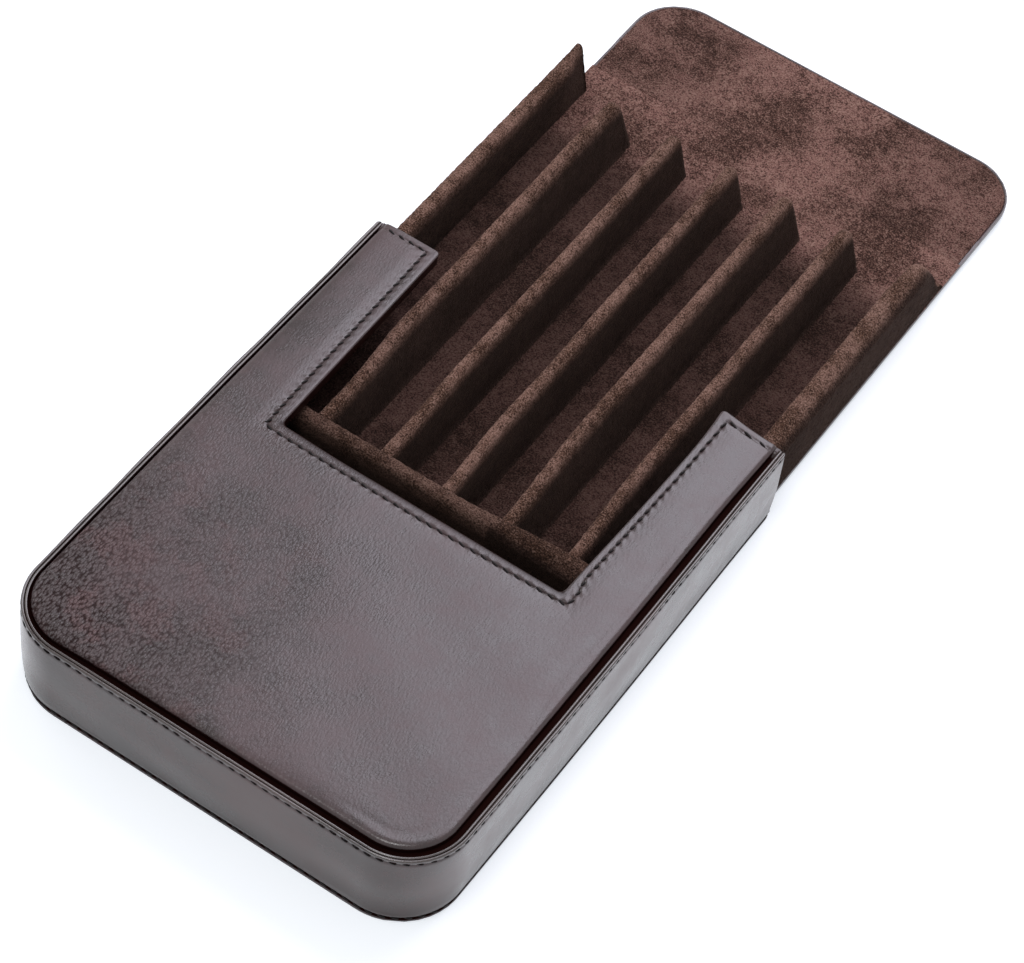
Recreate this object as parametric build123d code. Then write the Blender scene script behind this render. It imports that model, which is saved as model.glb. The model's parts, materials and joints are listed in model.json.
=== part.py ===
from build123d import *
import os

# A hard slip case for six pens: an upright leather sleeve that lies on its back, and a suede
# lined tray with six slots that slides out of the sleeve's mouth. The tray's back runs on past
# the slots as a spine and a flap, which fold over the pens before the tray goes back in.
# X runs across the case, Y along the pens towards the mouth and Z up from the table. The
# origin is the centre of the sleeve's back face. All lengths are millimetres.

# Sleeve, outside
sleeve_width = 130.0
sleeve_length = 165.0
rim_height = 28.6
crown_rise = 1.2
corner_radius = 18.5
base_inset = 0.9
rim_inset = 0.15
bulge_height = 17.0

# Sleeve materials
hide = 0.9
back_hide = 0.9
back_board = 0.6
front_board = 1.0
band_board = 0.6
front_foam = 1.3
pocket_suede = 0.4
back_suede = 0.3
band_suede = 0.3

# Channel between the padded front and the rim
channel_width = 1.6
channel_floor = 1.1
raw_edge_round = 0.3
crown_round = 1.7
foam_round = 0.9

# Cut-out in the front, which narrows a little from the mouth to its bottom
notch_mouth_width = 90.4
notch_bottom_width = 86.6
notch_depth = 73.5
notch_corner = 1.6
margin_width = 3.5
mouth_margin = 3.1
turned_edge_round = 0.4

# Tray
tray_pull = 97.5
slot_count = 6
divider_pitch = 19.0
divider_thickness = 3.6
wall_thickness = 4.2
wall_shoulder = 1.9
nap = 0.6
sheet_hide = 0.9
sheet_board = 0.7
sheet_suede = 0.5
hem = 2.0
divider_setback = 9.5
divider_slant = 7.5
wall_slant = 2.6

# Spine and flap
flap_length = 29.5
flap_corner = 18.0

# Clearances
running_gap = 0.3
ceiling_gap = 0.35
fold_gap = 0.3
overcut = 2.0
tolerance = 0.01

# Heights in the sleeve, from the table up
crown_height = rim_height + crown_rise
margin_height = crown_height + hide - front_foam
pocket_floor = back_hide + back_board + back_suede
pocket_ceiling = crown_height - hide - front_foam - front_board - pocket_suede
channel_height = pocket_ceiling + channel_floor

# Distances in from the sleeve's widest outline
board_inset = base_inset + hide
lining_inset = board_inset + band_board
pocket_inset = lining_inset + band_suede
flange_inset = rim_inset + 2 * hide
crown_inset = flange_inset + channel_width
core_inset = crown_inset + hide

# Places along Y
mouth_y = sleeve_length / 2
closed_y = -sleeve_length / 2
notch_y = mouth_y - notch_depth

# Tray heights and places, as it lies in the photograph's position, pulled out
tray_inset = pocket_inset + running_gap
tray_bottom = pocket_floor + running_gap
tray_floor = tray_bottom + sheet_hide + sheet_board + sheet_suede
flap_thickness = sheet_hide + sheet_board + sheet_suede
wall_top = pocket_ceiling - ceiling_gap - flap_thickness - running_gap
spine_length = wall_top + running_gap - tray_floor
tray_end_y = closed_y + tray_inset + tray_pull
fold_y = mouth_y + running_gap + tray_pull
flap_fold_y = fold_y + spine_length
tray_half_width = sleeve_width / 2 - tray_inset
slot_start_y = tray_end_y + wall_thickness


def u_outline(inset, y_mouth, y_closed=closed_y):
    """Flat face: straight at the mouth, rounded at the closed end, drawn in by inset."""
    half = sleeve_width / 2 - inset
    low = y_closed + inset
    round_left = corner_radius - inset
    outline = Polyline((-half, low + round_left), (-half, y_mouth), (half, y_mouth),
                       (half, low + round_left))
    outline += RadiusArc((half, low + round_left), (half - round_left, low), round_left)
    outline += Line((half - round_left, low), (-half + round_left, low))
    outline += RadiusArc((-half + round_left, low), (-half, low + round_left), round_left)
    return make_face(outline)


def slab(face, low, high):
    """The flat face as a solid between two heights."""
    return extrude(Pos(0, 0, low) * face, high - low, dir=(0, 0, 1))


def block(x_size, y_low, y_high, z_low, z_high, x_centre=0.0):
    """A plain block, placed by its ends in Y and Z and its centre in X."""
    middle = Pos(x_centre, (y_low + y_high) / 2, (z_low + z_high) / 2)
    return middle * Box(x_size, y_high - y_low, z_high - z_low)


def u_path(y_mouth, y_closed=closed_y, inset=0.0):
    """The line that a strip follows: down one side, round the closed end, up the other."""
    half = sleeve_width / 2 - inset
    low = y_closed + inset
    bend = corner_radius - inset
    path = Line((-half, y_mouth), (-half, low + bend))
    path += RadiusArc((-half, low + bend), (-half + bend, low), -bend)
    path += Line((-half + bend, low), (half - bend, low))
    path += RadiusArc((half - bend, low), (half, low + bend), -bend)
    path += Line((half, low + bend), (half, y_mouth))
    return Wire(path.edges())


def section_plane(x, y):
    """An upright plane that faces the closed end, its x to the right and its y up."""
    return Plane(origin=(x, y, 0), x_dir=(1, 0, 0), z_dir=(0, -1, 0))


def u_strip(section, y_mouth, y_closed=closed_y, inset=0.0):
    """A strip of the given section, x inwards and y up, swept round the U."""
    start = section_plane(-sleeve_width / 2 + inset, y_mouth)
    return sweep(start * section, path=u_path(y_mouth, y_closed, inset))


def area(x_low, x_high, y_low, y_high):
    """A rectangle in a section, by its corners."""
    return Pos((x_low + x_high) / 2, (y_low + y_high) / 2) * Rectangle(x_high - x_low, y_high - y_low)


def bulge(inset):
    """The band's curved side, moved inwards by inset."""
    return ThreePointArc((base_inset + inset, back_hide), (inset, bulge_height),
                         (rim_inset + inset, rim_height))


def behind_bulge(inset):
    """Section of all that lies inside the band's curved side, moved in by inset."""
    sides = Line((base_inset + inset, back_hide), (crown_inset, back_hide))
    sides += Line((crown_inset, back_hide), (crown_inset, rim_height))
    sides += Line((crown_inset, rim_height), (rim_inset + inset, rim_height))
    return make_face(bulge(inset) + sides)


def edges_at(shape, height):
    """The edges that lie level at this height."""
    return shape.edges().filter_by_position(Axis.Z, height - tolerance, height + tolerance)


def notch_face(margin=0.0):
    """The cut-out in the front, widened by margin."""
    past_mouth = mouth_y + overcut
    mouth_half = notch_mouth_width / 2 + margin
    bottom_half = notch_bottom_width / 2 + margin
    bottom = notch_y - margin
    corners = Polyline((-mouth_half, mouth_y), (-bottom_half, bottom), (bottom_half, bottom),
                       (mouth_half, mouth_y), (mouth_half, past_mouth), (-mouth_half, past_mouth),
                       close=True)
    face = make_face(corners)
    low_corners = face.vertices().sort_by(Axis.Y)[:2]
    return fillet(low_corners, notch_corner)


def sewn_margin():
    """The strip round the cut-out and along the mouth where the hide is turned over and sewn."""
    strip = area(-sleeve_width / 2, sleeve_width / 2, mouth_y - mouth_margin, mouth_y)
    return notch_face(margin_width) + strip


def turned_edges(crown):
    """The margin's outer edges, along the cut-out and the mouth."""
    opening = notch_face().face().outer_wire()
    level = edges_at(crown, margin_height)
    along_notch = [edge for edge in level
                   if opening.distance_to(Pos(0, 0, -margin_height) * Vertex(edge @ 0.5)) < tolerance]
    along_mouth = level.filter_by_position(Axis.Y, mouth_y - tolerance, mouth_y + tolerance)
    return along_notch + list(along_mouth)


def band_pieces():
    """The band round both sides and the closed end: hide, foam, board and suede."""
    leather_section = behind_bulge(0) - behind_bulge(hide)
    leather = u_strip(leather_section, mouth_y)
    hem_section = behind_bulge(hide) & area(0, lining_inset, back_hide, pocket_ceiling)
    left_hem = extrude(section_plane(-sleeve_width / 2, mouth_y) * hem_section, hide)
    leather = leather + left_hem + mirror(left_hem, about=Plane.YZ)
    leather = chamfer(edges_at(leather, rim_height), raw_edge_round)

    inside_y = mouth_y - hide
    padding_section = behind_bulge(hide) & area(0, board_inset, back_hide, pocket_ceiling)
    return {
        "sleeve_band_leather": leather,
        "sleeve_band_padding": u_strip(padding_section, inside_y),
        "sleeve_band_board": u_strip(area(board_inset, lining_inset, back_hide, pocket_ceiling), inside_y),
        "sleeve_band_lining": u_strip(area(lining_inset, pocket_inset, back_hide, pocket_ceiling), mouth_y),
    }


def back_pieces():
    """The back, which lies on the table: hide turned up at the mouth over board and suede."""
    inside_y = mouth_y - hide
    leather = slab(u_outline(base_inset, mouth_y), 0, back_hide)
    leather = chamfer(leather.edges().group_by(Axis.Z)[0], raw_edge_round)
    lip = block(sleeve_width - 2 * pocket_inset, inside_y, mouth_y, back_hide, pocket_floor)
    core = u_outline(pocket_inset, inside_y)
    return {
        "sleeve_back_leather": leather + lip,
        "sleeve_back_board": slab(core, back_hide, back_hide + back_board),
        "sleeve_back_lining": slab(core, back_hide + back_board, pocket_floor),
    }


def front_pieces():
    """The padded front with its cut-out. Its hide drops into a channel and turns up at the rim."""
    inside_y = mouth_y - hide
    flange_section = behind_bulge(hide) & area(0, flange_inset, pocket_ceiling, rim_height)
    flange_section += behind_bulge(hide) & area(0, crown_inset, pocket_ceiling, channel_height)
    flange = u_strip(flange_section, mouth_y)
    flange = chamfer(edges_at(flange, rim_height), raw_edge_round)

    crown = slab(u_outline(crown_inset, mouth_y), pocket_ceiling, crown_height)
    crown = fillet(crown.edges().group_by(Axis.Z)[-1], crown_round)
    crown -= slab(sewn_margin(), margin_height, crown_height)
    crown -= slab(notch_face(), pocket_ceiling, crown_height)
    crown = fillet(turned_edges(crown), turned_edge_round)

    core_face = u_outline(core_inset, inside_y) - notch_face(hide)
    lining_top = pocket_ceiling + pocket_suede
    board_top = lining_top + front_board
    foam_top = board_top + front_foam
    padding = slab(u_outline(core_inset, inside_y), board_top, foam_top)
    padding = fillet(padding.edges().group_by(Axis.Z)[-1], foam_round)
    padding -= slab(sewn_margin(), board_top, foam_top)
    leather = flange + crown - slab(core_face, pocket_ceiling, board_top) - padding
    return {
        "sleeve_front_leather": leather,
        "sleeve_front_padding": padding,
        "sleeve_front_board": slab(core_face, lining_top, board_top),
        "sleeve_front_lining": slab(core_face, pocket_ceiling, lining_top),
    }


def past_slant(foot_y, top_y, foot_z, top_z):
    """Everything beyond a slanted end, as a wedge to cut away."""
    lean = (top_y - foot_y) / (top_z - foot_z)
    low_z = foot_z - overcut
    high_z = top_z + overcut
    far_y = fold_y + overcut
    low = (foot_y + lean * (low_z - foot_z), low_z)
    high = (foot_y + lean * (high_z - foot_z), high_z)
    face = make_face(Polyline(low, high, (far_y, high_z), (far_y, low_z), close=True))
    return extrude(Plane.YZ * face, sleeve_width / 2, both=True)


def rounded_section(width, low, high, inner_round, outer_round):
    """An upright section with its top rounded, x from 0 to width."""
    face = area(0, width, low, high)
    top = face.vertices().sort_by(Axis.Y)[2:].sort_by(Axis.X)
    face = fillet(top[0], outer_round)
    corner = face.vertices().sort_by(Axis.X)[-2:].sort_by(Axis.Y)[-1]
    return fillet(corner, inner_round)


def wall_pieces():
    """The tray's wall: one board bent round the end, wrapped in suede with open slanted ends."""
    closed = closed_y + tray_pull
    foot_y = fold_y - fold_gap
    top_y = foot_y - wall_slant
    inner_round = wall_shoulder - nap
    whole = rounded_section(wall_thickness, tray_floor, wall_top, inner_round, wall_shoulder)
    core = Pos(nap, 0) * rounded_section(wall_thickness - 2 * nap, tray_floor, wall_top - nap,
                                         inner_round - nap / 2, wall_shoulder - nap)
    cover = u_strip(whole, fold_y, closed, tray_inset)
    cover -= past_slant(foot_y, top_y, tray_floor, wall_top)
    board = u_strip(core, fold_y, closed, tray_inset)
    board -= past_slant(foot_y - nap, top_y - nap, tray_floor, wall_top)
    return {"tray_wall_board": board, "tray_wall_cover": cover - board}


def divider_section(thickness, top):
    """A divider's section, with a half round top."""
    half = thickness / 2
    sides = Polyline((-half, top - half), (-half, tray_floor), (half, tray_floor), (half, top - half))
    sides += ThreePointArc((half, top - half), (0, top), (-half, top - half))
    return make_face(sides)


def divider(thickness, top, end_inset):
    """A divider's bar from the end wall to its slanted end."""
    foot_y = fold_y - divider_setback - end_inset
    bar = extrude(section_plane(0, slot_start_y) * divider_section(thickness, top), slot_start_y - foot_y)
    return bar - past_slant(foot_y, foot_y - divider_slant, tray_floor, wall_top)


def divider_pieces():
    """The five dividers between six slots, each a board wrapped over its top in suede."""
    pieces = {}
    board = divider(divider_thickness - 2 * nap, wall_top - nap, nap)
    cover = divider(divider_thickness, wall_top, 0) - board
    for number in range(1, slot_count):
        place = Pos((number - slot_count / 2) * divider_pitch, 0, 0)
        pieces[f"divider_{number}_board"] = place * board
        pieces[f"divider_{number}_cover"] = place * cover
    return pieces


def hemmed_panel(outline, board_face):
    """Hide with its edges turned in round a board, and suede on top."""
    board_low = tray_bottom + sheet_hide
    board_high = board_low + sheet_board
    board = slab(board_face, board_low, board_high)
    leather = slab(outline, tray_bottom, board_high) - board
    lining = slab(outline, board_high, tray_floor)
    return leather, board, lining


def tray_floor_pieces():
    """The tray's floor, with the same rounded corners as the closed end of the sleeve."""
    closed = closed_y + tray_pull
    near_fold = fold_y - fold_gap / 2
    outline = u_outline(tray_inset, near_fold, closed)
    board_face = u_outline(tray_inset + hem, near_fold - hem, closed)
    leather, board, lining = hemmed_panel(outline, board_face)
    return {"tray_back_leather": leather, "tray_floor_board": board, "tray_floor_lining": lining}


def plate_face(y_low, y_high, far_corner, shrink=0.0):
    """A plain plate as wide as the tray, its two far corners rounded."""
    face = area(-tray_half_width + shrink, tray_half_width - shrink, y_low + shrink, y_high - shrink)
    if far_corner:
        face = fillet(face.vertices().sort_by(Axis.Y)[-2:], far_corner - shrink)
    return face


def spine_pieces():
    """The narrow panel that closes over the ends of the slots."""
    y_low = fold_y + fold_gap / 2
    y_high = flap_fold_y - fold_gap / 2
    leather, board, lining = hemmed_panel(plate_face(y_low, y_high, 0), plate_face(y_low, y_high, 0, hem))
    return {"spine_leather": leather, "spine_board": board, "spine_lining": lining}


def flap_pieces():
    """The flap with two large round corners, which lies over the pens when the case is shut."""
    y_low = flap_fold_y + fold_gap / 2
    y_high = flap_fold_y + flap_length
    leather, board, lining = hemmed_panel(plate_face(y_low, y_high, flap_corner),
                                          plate_face(y_low, y_high, flap_corner, hem))
    return {"flap_leather": leather, "flap_board": board, "flap_lining": lining}


def one_solid(shape):
    """The shape without the compound that booleans leave round a single solid."""
    solids = shape.solids()
    return solids[0] if len(solids) == 1 else Compound(solids)


os.makedirs("parts", exist_ok=True)
makers = [band_pieces, back_pieces, front_pieces, wall_pieces, divider_pieces, tray_floor_pieces,
          spine_pieces, flap_pieces]
for maker in makers:
    for name, shape in maker().items():
        export_step(one_solid(shape), f"parts/{name}.step")
        print(name, len(shape.solids()), round(shape.volume, 1))
print("pocket", pocket_floor, pocket_ceiling, "tray", tray_bottom, tray_floor, wall_top)
print("fold", fold_y, flap_fold_y, "spine", spine_length, "tray end", tray_end_y)
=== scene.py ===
import json
import math

import bmesh
import bpy
import numpy as np
from mathutils import Matrix, Vector


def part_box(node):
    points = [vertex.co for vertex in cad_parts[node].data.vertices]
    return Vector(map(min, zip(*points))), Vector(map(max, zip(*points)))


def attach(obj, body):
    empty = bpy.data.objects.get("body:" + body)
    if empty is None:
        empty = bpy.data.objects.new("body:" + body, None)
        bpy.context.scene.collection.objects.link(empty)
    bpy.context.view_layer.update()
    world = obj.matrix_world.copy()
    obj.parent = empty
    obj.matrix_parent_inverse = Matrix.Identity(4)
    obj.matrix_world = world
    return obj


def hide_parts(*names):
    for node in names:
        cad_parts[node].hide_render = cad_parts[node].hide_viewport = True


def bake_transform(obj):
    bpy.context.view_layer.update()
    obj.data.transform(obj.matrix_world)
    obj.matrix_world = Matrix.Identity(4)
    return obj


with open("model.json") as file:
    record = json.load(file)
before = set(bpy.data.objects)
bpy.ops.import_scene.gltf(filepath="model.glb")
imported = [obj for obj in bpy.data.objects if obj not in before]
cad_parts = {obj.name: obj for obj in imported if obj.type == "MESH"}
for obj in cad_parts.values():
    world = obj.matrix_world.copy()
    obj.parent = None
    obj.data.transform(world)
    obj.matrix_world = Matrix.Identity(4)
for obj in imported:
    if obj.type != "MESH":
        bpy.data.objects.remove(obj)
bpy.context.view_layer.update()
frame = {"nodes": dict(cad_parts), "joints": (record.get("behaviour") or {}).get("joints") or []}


# The sleeve's band
# A strip of smooth calfskin over thin foam and card, which makes both long sides and the closed
# end. Its top edge is left raw, and it is sewn on just under the rim and again at its foot.
# All shapes are worked out in millimetres, in the frame of the solids, and made in metres.
mm = 0.001
band_low, band_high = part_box("sleeve_band_leather")
half_width = band_high.x / mm
mouth_y = band_high.y / mm
closed_y = band_low.y / mm
rim_z = band_high.z / mm
foot_z = band_low.z / mm
pocket_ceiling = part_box("sleeve_band_lining")[1].z / mm
hide = 0.9
corner_radius = 18.5
base_inset = 0.9
rim_inset = 0.15
bulge_z = 17.0
band_depth = 2.35
end_radius = 0.8
end_droop = 0.6
side_fullness = 0.35
mouth_pinch = 0.15
stitch_pitch = 3.3
rim_stitch_z = rim_z - 1.35
foot_stitch_z = foot_z + 0.85
rim_seam_depth = 0.2
foot_seam_depth = 0.28
pucker_depth = 0.05
swell_height = 0.1
swell_squeeze = 2.5
edge_gap = 0.03


def drop(distance, radius):
    """How far a surface has fallen at some distance in from an edge rounded to this radius."""
    left = np.clip(radius - np.asarray(distance, float), 0, radius)
    return radius - np.sqrt(radius ** 2 - left ** 2)


def hump(distance, width):
    """A smooth hump of height 1 and about this half width."""
    return np.exp(-(np.asarray(distance, float) / width) ** 2)


def rising(value, start, over):
    """An even ramp from 0 at the start to 1 after this length."""
    t = np.clip((value - start) / over, 0, 1)
    return t * t * (3 - 2 * t)


def ripple(x, y, length, seed):
    """Gentle unevenness of about this wavelength, from -1 to 1, as hide has over a soft backing."""
    waves, shortest, longest, phase_span = 9, 0.7, 1.6, 7
    draw = np.random.default_rng(seed)
    total = 0.0
    for turn, phase, stretch in draw.uniform(0, 1, (waves, 3)):
        wave = 2 * np.pi / (length * (shortest + (longest - shortest) * stretch))
        angle = 2 * np.pi * turn
        total = total + np.sin(wave * (x * math.cos(angle) + y * math.sin(angle)) + phase_span * phase)
    return 2 * total / waves


def spread(low, high, spacing):
    """Places from low to high, both ends in, about this far apart."""
    return np.linspace(low, high, max(2, int(abs(high - low) / spacing) + 1))


def both_ways(near, low, high, spacing):
    """Places from low to high, as close together at both ends as near says."""
    middle = spread(low + near[-1], high - near[-1], spacing)
    return np.concatenate([low + near[:-1], middle, high - near[:-1][::-1]])


def u_stations(half, y_mouth, y_closed, radius, near, spacing):
    """Stations round a U-shaped outline: places, the directions inwards and the run from the mouth."""
    straight = y_mouth - y_closed - radius
    side = np.concatenate([near[:-1], spread(near[-1], straight, spacing)])
    turn = spread(0, np.pi / 2, spacing / radius)[1:-1]
    floor = spread(-(half - radius), 0, spacing)
    places = [(-half, y_mouth - y, 1, 0, y) for y in side]
    for angle in turn:
        out = (-math.cos(angle), -math.sin(angle))
        places.append((-(half - radius) + radius * out[0], y_closed + radius + radius * out[1],
                       -out[0], -out[1], straight + radius * angle))
    end_run = straight + radius * np.pi / 2
    places += [(x, y_closed, 0, 1, end_run + x - floor[0]) for x in floor]
    left = np.array(places)
    right = left[-2::-1] * [-1, 1, -1, 1, 1]
    right[:, 4] = 2 * left[-1, 4] - right[:, 4]
    both = np.concatenate([left, right])
    return both[:, :2], both[:, 2:4], both[:, 4]


def from_mouth(run):
    """How far each station lies from the nearer end of its U."""
    return np.minimum(run, run[-1] - run)


def around(places, inwards, inset, height):
    """Points at these insets and heights, for every station of an outline."""
    points = np.empty(inset.shape + (3,))
    points[..., :2] = places[:, None, :] + inwards[:, None, :] * inset[..., None]
    points[..., 2] = height
    return points


def bowed(points):
    """The sleeve's sides as they really are: a little fuller in the middle than at the mouth."""
    half_waves = 1.15
    x, y = points[..., 0], points[..., 1]
    along = (y - closed_y) / (mouth_y - closed_y)
    out = side_fullness * np.sin(np.pi * np.clip(along * half_waves, 0, 1))
    out = out - mouth_pinch * rising(along, start=0.55, over=0.45)
    points[..., 0] = x + np.sign(x) * out * (np.abs(x) / half_width) ** 4
    return points


def loft(rings):
    """Faces over rings of points that close on themselves, with both ends filled."""
    count, size = rings.shape[:2]
    index = np.arange(count * size).reshape(count, size)
    near, far = index[:-1], index[1:]
    quads = np.stack([near, np.roll(near, -1, 1), np.roll(far, -1, 1), far], -1).reshape(-1, 4)
    return rings.reshape(-1, 3), quads.tolist() + [index[0][::-1].tolist(), index[-1].tolist()]


def joined(*shapes):
    """Several closed shapes as one set of points and faces."""
    points, faces = [], []
    for shape_points, shape_faces in shapes:
        faces += [[len(points) + i for i in face] for face in shape_faces]
        points += np.asarray(shape_points).tolist()
    return np.array(points), faces


def with_cut_edge(piece, section_size, rows):
    """The piece with these rows of its section, its raw edge, in the waxed edge material."""
    piece.data.materials.append(cut_edge)
    slots = np.zeros(len(piece.data.polygons), int)
    quads = len(slots) - 2
    slots[:quads] = np.isin(np.arange(quads) % section_size, rows)
    piece.data.polygons.foreach_set("material_index", slots)
    return piece


def made(name, points, faces, material, sharp=38, painted_shade=None):
    """A piece of the case from points in millimetres, smooth but for edges sharper than that."""
    mesh = bpy.data.meshes.new(name)
    mesh.from_pydata((np.asarray(points) * mm).tolist(), [], faces)
    # The painted_shade attribute holds painted shade, which the materials paint darker and duller.
    if painted_shade is not None:
        mesh.attributes.new("painted_shade", "FLOAT", "POINT").data.foreach_set("value", np.ravel(painted_shade))
    work = bmesh.new()
    work.from_mesh(mesh)
    bmesh.ops.recalc_face_normals(work, faces=work.faces)
    work.to_mesh(mesh)
    work.free()
    mesh.polygons.foreach_set("use_smooth", [True] * len(mesh.polygons))
    mesh.set_sharp_from_angle(angle=math.radians(sharp))
    mesh.materials.append(material)
    piece = bpy.data.objects.new(name, mesh)
    bpy.context.scene.collection.objects.link(piece)
    return piece


def colour(code):
    """A linear colour from an sRGB hex code."""
    parts = [int(code[i:i + 2], 16) / 255 for i in (1, 3, 5)]
    return [p / 12.92 if p <= 0.04045 else ((p + 0.055) / 1.055) ** 2.4 for p in parts] + [1]


def add(tree, kind, inputs=None, **settings):
    """A shader node. Each input is a value, an output, or a node whose first output is meant."""
    node = tree.nodes.new("ShaderNode" + kind)
    for name, value in settings.items():
        setattr(node, name, value)
    for name, value in (inputs or {}).items():
        if isinstance(value, bpy.types.Node):
            value = value.outputs[0]
        if isinstance(value, bpy.types.NodeSocket):
            tree.links.new(value, node.inputs[name])
        else:
            node.inputs[name].default_value = value
    return node


def new_material(name):
    """An empty material, its node tree, and each point's place, which its patterns follow."""
    material = bpy.data.materials.new(name)
    material.use_nodes = True
    tree = material.node_tree
    tree.nodes.clear()
    return material, tree, add(tree, "TexCoord").outputs["Object"]


def calfskin(name, deep, pale, grain_depth, rough, wax):
    """Aniline calfskin, waxed and burnished: its dye is cloudy, red where rubbed, and darkened and dulled by
    painted shade.
    """
    material, tree, place = new_material(name)
    painted_shade = add(tree, "Attribute", attribute_name="painted_shade").outputs["Fac"]
    cloud_size, fleck_size = 30 * mm, 4.5 * mm
    dye_cloud = add(tree, "TexNoise", {
        "Vector": place, "Scale": 1 / cloud_size, "Detail": 4.0, "Roughness": 0.6})
    dye_fleck = add(tree, "TexNoise", {
        "Vector": place, "Scale": 1 / fleck_size, "Detail": 5.0, "Roughness": 0.7})
    mixed = add(tree, "Math", {0: dye_fleck, 1: 0.6, 2: dye_cloud}, operation="MULTIPLY_ADD")
    share = add(tree, "MapRange", {"Value": mixed, "From Min": 0.66, "From Max": 0.96})
    dye = add(tree, "Mix", {"Factor": share, 6: colour(deep), 7: colour(pale)}, data_type="RGBA")
    # The grain is 0.55 mm across and drawn out along the case to 1.2 mm, about twice as coarse as it
    # is, so that it shows. Its lines are bent by up to a quarter of a millimetre.
    grain_width, grain_shortening, pore_width = 0.55 * mm, 0.45, 0.45 * mm
    bend_size, bend_reach = 1.5 * mm, 0.5 * mm
    warp = add(tree, "TexNoise", {"Vector": place, "Scale": 1 / bend_size, "Detail": 2.0})
    bent = add(tree, "VectorMath", {0: warp.outputs["Color"], 1: [bend_reach] * 3}, operation="MULTIPLY")
    moved = add(tree, "VectorMath", {0: place, 1: bent}, operation="ADD")
    drawn = add(tree, "VectorMath", {0: moved, 1: (1.0, grain_shortening, 1.0)}, operation="MULTIPLY")
    pebble = add(tree, "TexVoronoi", {
        "Vector": drawn, "Scale": 1 / grain_width, "Smoothness": 0.2}, feature="SMOOTH_F1")
    pore = add(tree, "TexNoise", {"Vector": place, "Scale": 1 / pore_width, "Detail": 2.0, "Roughness": 0.6})
    relief = add(tree, "Math", {0: pebble, 1: -1.0, 2: pore}, operation="MULTIPLY_ADD")
    # Towards this corner of the case the grain is coarser, and its valleys darker and redder.
    coarse_corner, coarse_reach, fine_from = (-75 * mm, -85 * mm, 30 * mm), 70 * mm, 170 * mm
    ragged = 90 * mm
    from_coarse_corner = add(tree, "VectorMath", {0: place, 1: coarse_corner}, operation="DISTANCE")
    uneven = add(tree, "Math", {
        0: dye_cloud, 1: ragged, 2: from_coarse_corner.outputs["Value"]}, operation="MULTIPLY_ADD")
    coarse = add(tree, "MapRange", {
        "Value": uneven, "From Min": coarse_reach, "From Max": fine_from, "To Min": 1.0, "To Max": 0.16},
        interpolation_type="SMOOTHSTEP")
    mottle, rubbed_size = 4 * grain_depth, 11 * mm
    valley = add(tree, "MapRange", {
        "Value": pebble, "From Min": 0.32, "From Max": 0.75, "To Min": 0.0, "To Max": mottle})
    creased_share = add(tree, "Math", {0: coarse, 1: 2.0}, operation="POWER")
    valleys = add(tree, "Math", {0: valley, 1: creased_share}, operation="MULTIPLY")
    # Painted shade, and the grain's valleys, darken the dye and take away its shine and wax.
    dark = add(tree, "Math", {0: painted_shade, 1: valleys}, operation="MAXIMUM")
    rubbed = add(tree, "TexNoise", {
        "Vector": place, "Scale": 1 / rubbed_size, "Detail": 4.0, "Roughness": 0.65})
    thin = add(tree, "MapRange", {
        "Value": rubbed, "From Min": 0.48, "From Max": 0.62, "To Min": 0.0, "To Max": mottle},
        interpolation_type="SMOOTHSTEP")
    redder = add(tree, "Math", {0: thin, 1: creased_share}, operation="MULTIPLY")
    reddened = add(tree, "Mix", {
        "Factor": redder, 6: dye.outputs[2], 7: colour("#4b2628")}, data_type="RGBA")
    darkened_dye = add(tree, "Mix", {
        "Factor": dark, 6: reddened.outputs[2], 7: colour("#1f0e0c")}, data_type="RGBA")
    skin = add(tree, "Bump", {"Height": relief, "Distance": grain_depth * mm, "Strength": coarse})
    shine = add(tree, "MapRange", {
        "Value": mixed, "From Min": 0.6, "From Max": 1.0, "To Min": rough - 0.05, "To Max": rough + 0.12})
    shiny = add(tree, "MapRange", {"Value": dark, "To Min": 0.5, "To Max": 0.0})
    waxed = add(tree, "MapRange", {"Value": dark, "To Min": wax, "To Max": 0.0})
    hide_shader = add(tree, "BsdfPrincipled", {
        "Base Color": darkened_dye.outputs[2], "Roughness": shine, "IOR": 1.5, "Specular IOR Level": shiny,
        "Normal": skin, "Coat Weight": waxed, "Coat Roughness": 0.2, "Coat IOR": 1.5})
    add(tree, "OutputMaterial", {"Surface": hide_shader})
    return material


brown_hide = calfskin("calfskin_waxed_brown", "#281719", "#402b2e", grain_depth=0.21, rough=0.27, wax=0.2)
band_hide = calfskin("calfskin_burnished_brown", "#2f1c1b", "#472d2c", grain_depth=0.02, rough=0.24,
                     wax=0.4)
cut_edge = calfskin("calfskin_cut_edge_waxed", "#241512", "#35211d", grain_depth=0.02, rough=0.2, wax=1.0)

# Distances in from a rounded edge, closest where it bends most, and the step round small bends.
near_edge = np.array([0, 0.06, 0.15, 0.27, 0.42, 0.6, 0.82, 1.1])
arc_step = 0.3


def band_side(z):
    """How far in from the widest outline the band's outer face lies at some height."""
    low = base_inset * ((bulge_z - z) / (bulge_z - foot_z)) ** 2
    high = rim_inset * ((z - bulge_z) / (rim_z - bulge_z)) ** 2
    sewn_in = (foot_seam_depth * hump(z - foot_stitch_z, width=0.6)
               + rim_seam_depth * hump(z - rim_stitch_z, width=0.5))
    return np.where(z < bulge_z, low, high) + sewn_in


def raw_edge(x_low, x_high, z_high):
    """The rounded top of a hide's cut edge, from x_low over to x_high."""
    middle, half = (x_low + x_high) / 2, (x_high - x_low) / 2
    return [(middle - half * math.cos(a), z_high - half + half * math.sin(a))
            for a in spread(0, np.pi, arc_step)]


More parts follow.
